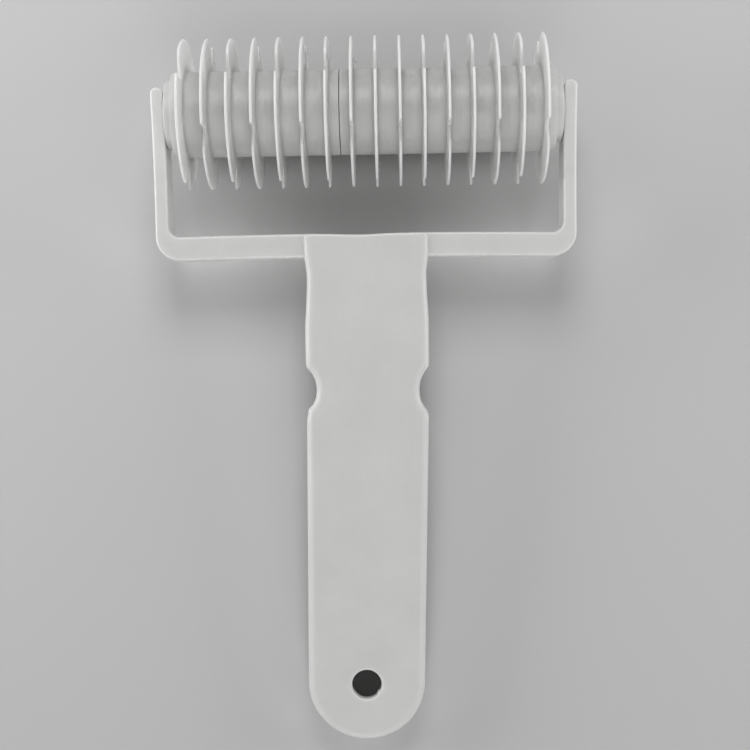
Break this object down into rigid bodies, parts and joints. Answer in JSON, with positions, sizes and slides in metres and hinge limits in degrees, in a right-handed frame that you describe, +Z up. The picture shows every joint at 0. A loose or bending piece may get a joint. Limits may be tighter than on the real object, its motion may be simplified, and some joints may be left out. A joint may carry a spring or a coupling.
{
  "type": "lattice roller cutter",
  "caption": "Hand-held pastry lattice cutter: a row of notched blade wheels turns on a keyed shaft between the arms of a one-piece handle with finger notches and a hanging hole.",
  "frame": {"origin": "middle of the underside of the whole cutter's box, on the table that it lies on", "axes": "+X along the roller's axis, +Y from the handle's free end towards the roller, +Z up"},
  "size_m": [0.1196, 0.1988, 0.042],
  "materials": {
    "frame_plastic": "white moulded plastic, satin, faint flow marks",
    "wheel_plastic": "white moulded plastic, satin, fine turned lines on the hubs"
  },
  "bodies": {
    "handle": {"handle_frame": "frame_plastic"},
    "roller": {"blade_wheel_01": "wheel_plastic", "blade_wheel_02": "wheel_plastic", "blade_wheel_03": "wheel_plastic", "blade_wheel_04": "wheel_plastic", "blade_wheel_05": "wheel_plastic", "blade_wheel_06": "wheel_plastic", "blade_wheel_07": "wheel_plastic", "blade_wheel_08": "wheel_plastic", "blade_wheel_09": "wheel_plastic", "blade_wheel_10": "wheel_plastic", "blade_wheel_11": "wheel_plastic", "blade_wheel_12": "wheel_plastic", "blade_wheel_13": "wheel_plastic", "blade_wheel_14": "wheel_plastic", "blade_wheel_15": "wheel_plastic", "blade_wheel_16": "wheel_plastic", "roller_shaft": "wheel_plastic", "end_collar_left": "wheel_plastic", "end_collar_right": "wheel_plastic"}
  },
  "joints": [
    {"name": "roller_spin", "type": "hinge", "parent": "handle", "child": "roller", "pos_m": [0, 0.07841, 0.021], "axis": [1, 0, 0], "continuous": true}
  ]
}
